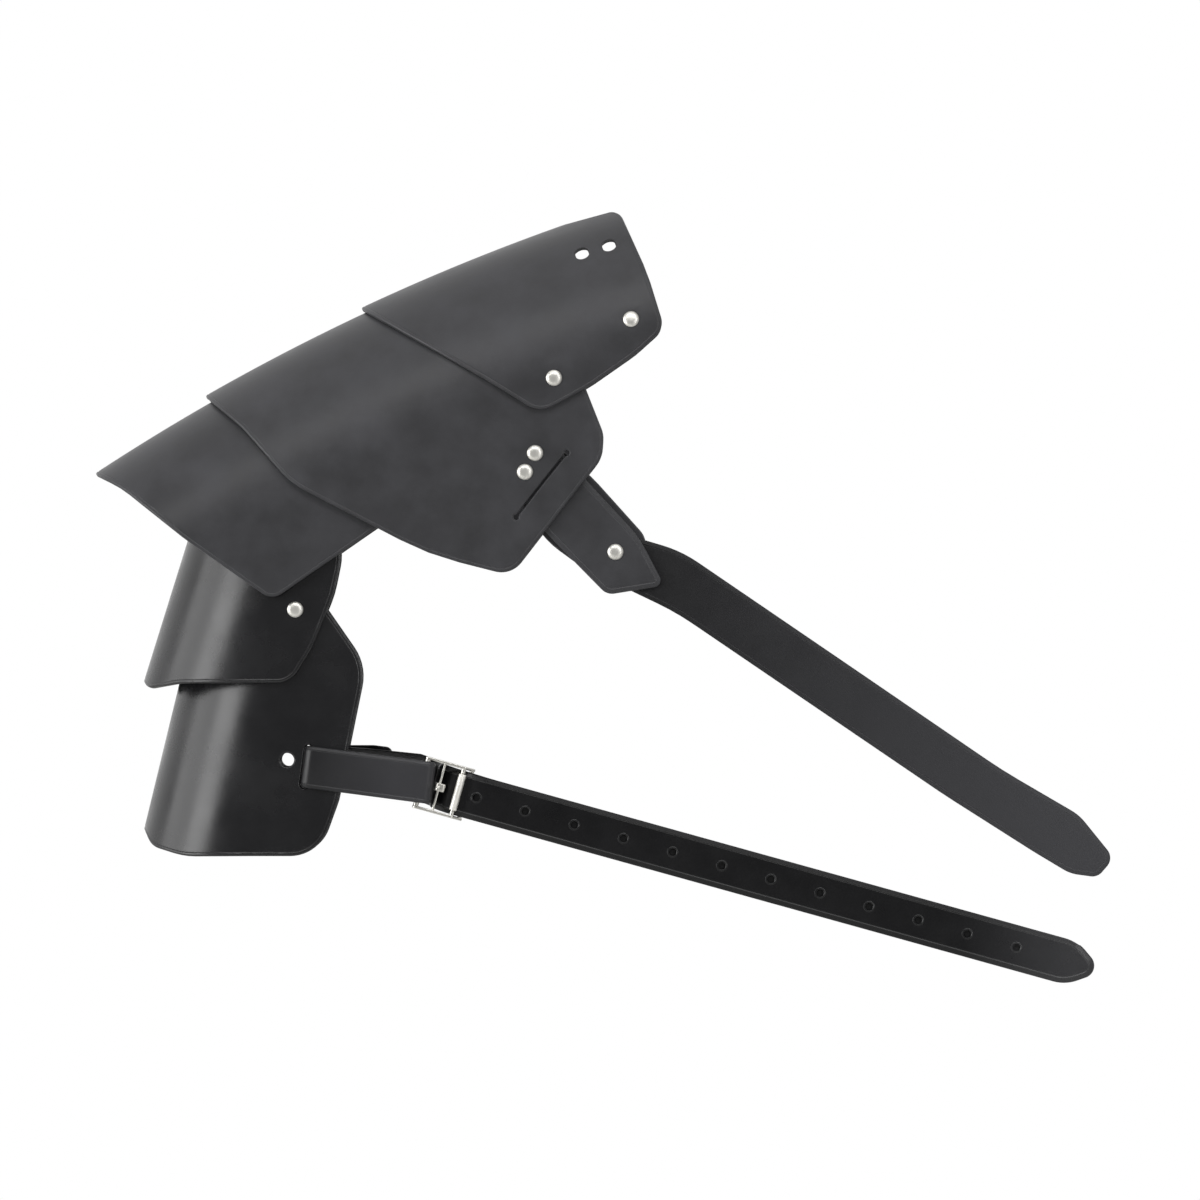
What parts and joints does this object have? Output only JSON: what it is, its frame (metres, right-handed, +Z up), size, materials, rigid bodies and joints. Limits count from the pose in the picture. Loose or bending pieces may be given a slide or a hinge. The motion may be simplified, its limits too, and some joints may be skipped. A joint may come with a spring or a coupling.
{
  "type": "layered pauldron",
  "caption": "Black leather shoulder guard of overlapping arched plates on rivets, with a chest strap and an arm belt that runs through a roller buckle.",
  "frame": {"origin": "on the axis of the shoulder arch, where the wearer's shoulder carries the guard", "axes": "+X from the arm towards the neck and chest, +Z up as worn, +Y from the chest side to the back"},
  "size_m": [0.5542, 0.1596, 0.421],
  "materials": {
    "plate_leather": "smooth waxed",
    "arm_leather": "smooth waxed",
    "strap_leather": "satin",
    "chest_leather": "matt grained",
    "rivet_metal": "polished nickel",
    "buckle_metal": "polished nickel"
  },
  "bodies": {
    "shoulder": {"shoulder_plate": "plate_leather", "neck_pivot_rivets": "rivet_metal", "neck_pivot_backs": "rivet_metal", "strap_pair_rivets": "rivet_metal", "strap_pair_backs": "rivet_metal", "front_suspension_strip": "arm_leather", "rear_suspension_strip": "arm_leather", "cap_pivot_rivets": "rivet_metal", "cap_pivot_backs": "rivet_metal", "arm_pivot_rivets": "rivet_metal", "arm_pivot_backs": "rivet_metal", "connector_front_leg": "strap_leather", "connector_back_leg": "strap_leather", "chest_strap_rivet": "rivet_metal", "chest_strap_rivet_back": "rivet_metal"},
    "neck": {"neck_plate": "plate_leather", "neck_corner_rivets": "rivet_metal", "neck_corner_backs": "rivet_metal"},
    "cap": {"cap_plate": "plate_leather"},
    "upper_arm": {"upper_arm_plate": "arm_leather", "elbow_pivot_rivets": "rivet_metal", "elbow_pivot_backs": "rivet_metal"},
    "lower_arm": {"lower_arm_plate": "arm_leather", "buckle_chape": "strap_leather", "buckle_frame": "buckle_metal", "arm_belt": "strap_leather", "belt_root_rivet": "rivet_metal", "belt_root_rivet_back": "rivet_metal"},
    "roller": {"buckle_roller": "buckle_metal"},
    "prong": {"buckle_prong": "buckle_metal"},
    "chest_strap": {"chest_strap": "chest_leather"}
  },
  "joints": [
    {"name": "neck_plate_lift", "type": "hinge", "parent": "shoulder", "child": "neck", "pos_m": [0.1166, 0, 0.0447], "axis": [0, 1, 0], "range_deg": [0, 12]},
    {"name": "cap_plate_drop", "type": "hinge", "parent": "shoulder", "child": "cap", "pos_m": [0.04, 0, -0.014], "axis": [0, 1, 0], "range_deg": [-10, 0]},
    {"name": "upper_arm_swing", "type": "hinge", "parent": "shoulder", "child": "upper_arm", "pos_m": [-0.0218, 0, -0.0436], "axis": [0, 1, 0], "range_deg": [-12, 12]},
    {"name": "lower_arm_swing", "type": "hinge", "parent": "upper_arm", "child": "lower_arm", "pos_m": [-0.0245, 0, -0.0815], "axis": [0, 1, 0], "range_deg": [-10, 10]},
    {"name": "chest_strap_swivel", "type": "hinge", "parent": "shoulder", "child": "chest_strap", "pos_m": [0.1501, -0.066, -0.0501], "axis": [0, 1, 0], "range_deg": [-30, 30]},
    {"name": "prong_swing", "type": "hinge", "parent": "lower_arm", "child": "prong", "pos_m": [0.05384, -0.0595, -0.17837], "axis": [0.2672, 0, 0.9636], "range_deg": [-35, 60]},
    {"name": "roller_spin", "type": "hinge", "parent": "lower_arm", "child": "roller", "pos_m": [0.06405, -0.0595, -0.1812], "axis": [0.2672, 0, 0.9636], "continuous": true}
  ]
}
